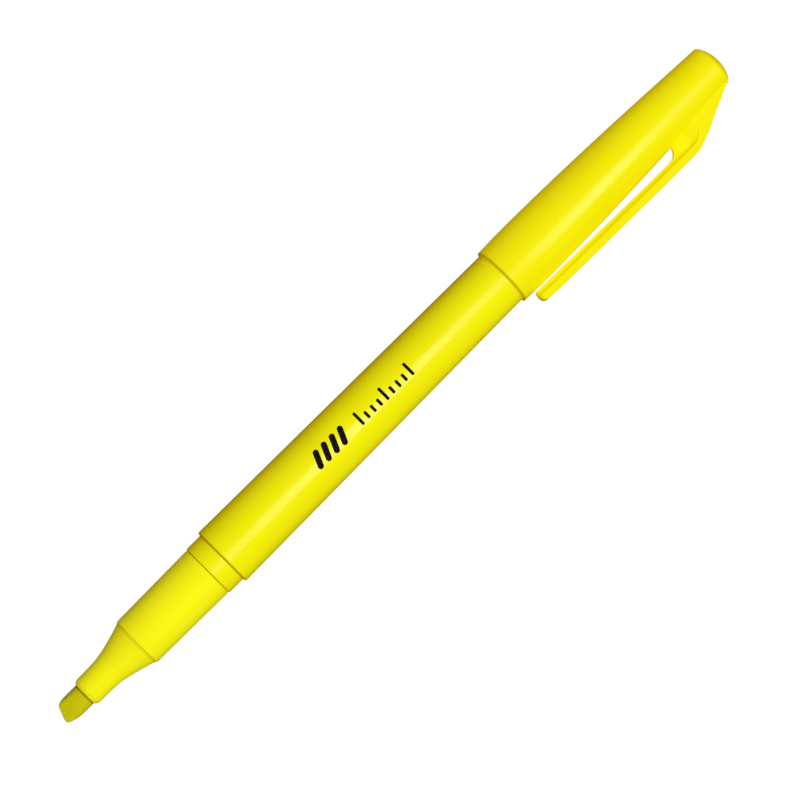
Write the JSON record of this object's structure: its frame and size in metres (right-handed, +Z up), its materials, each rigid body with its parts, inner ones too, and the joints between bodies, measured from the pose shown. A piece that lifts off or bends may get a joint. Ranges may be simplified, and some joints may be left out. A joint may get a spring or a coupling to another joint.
{
  "type": "highlighter",
  "caption": "Slim pocket highlighter with a chisel nib, a stepped grip section and a clipped cap posted on the rear of its tapered barrel.",
  "frame": {"origin": "centre of the collar in front of the barrel's shoulder, on the pen's axis, where the cap pushes on over the nib", "axes": "+X along the pen's axis towards the nib, +Z up from the table it lies on, +Y level, on the clip's side; the pen is rolled 25.6 degrees about +X so that the clip's edge rests on the table"},
  "size_m": [0.1491, 0.0137, 0.0108],
  "materials": {
    "barrel_plastic": "gloss",
    "section_plastic": "gloss",
    "cap_plastic": "gloss",
    "nib_fibre": "ink-soaked bonded fibre",
    "reservoir_fibre": "ink-soaked fibre",
    "film_plastic": "clear film",
    "liner_plastic": "satin",
    "printed_mark": "printed ink"
  },
  "bodies": {
    "pen": {"barrel": "barrel_plastic", "front_section": "section_plastic", "nib": "nib_fibre", "reservoir_core": "reservoir_fibre", "reservoir_film": "film_plastic", "end_plug": "barrel_plastic"},
    "cap": {"cap": "cap_plastic", "cap_liner": "liner_plastic"},
    "clip": {"clip": "cap_plastic"}
  },
  "joints": [
    {"name": "cap_slide", "type": "slide", "parent": "pen", "child": "cap", "axis": [-1, 0, 0], "range_m": [0, 0.022]},
    {"name": "clip_flex", "type": "hinge", "parent": "cap", "child": "clip", "pos_m": [-0.1001, 0.00645, -0.00309], "axis": [0, 0.4317, 0.902], "range_deg": [0, 4], "stiffness_Nm_per_rad": 0.2}
  ]
}
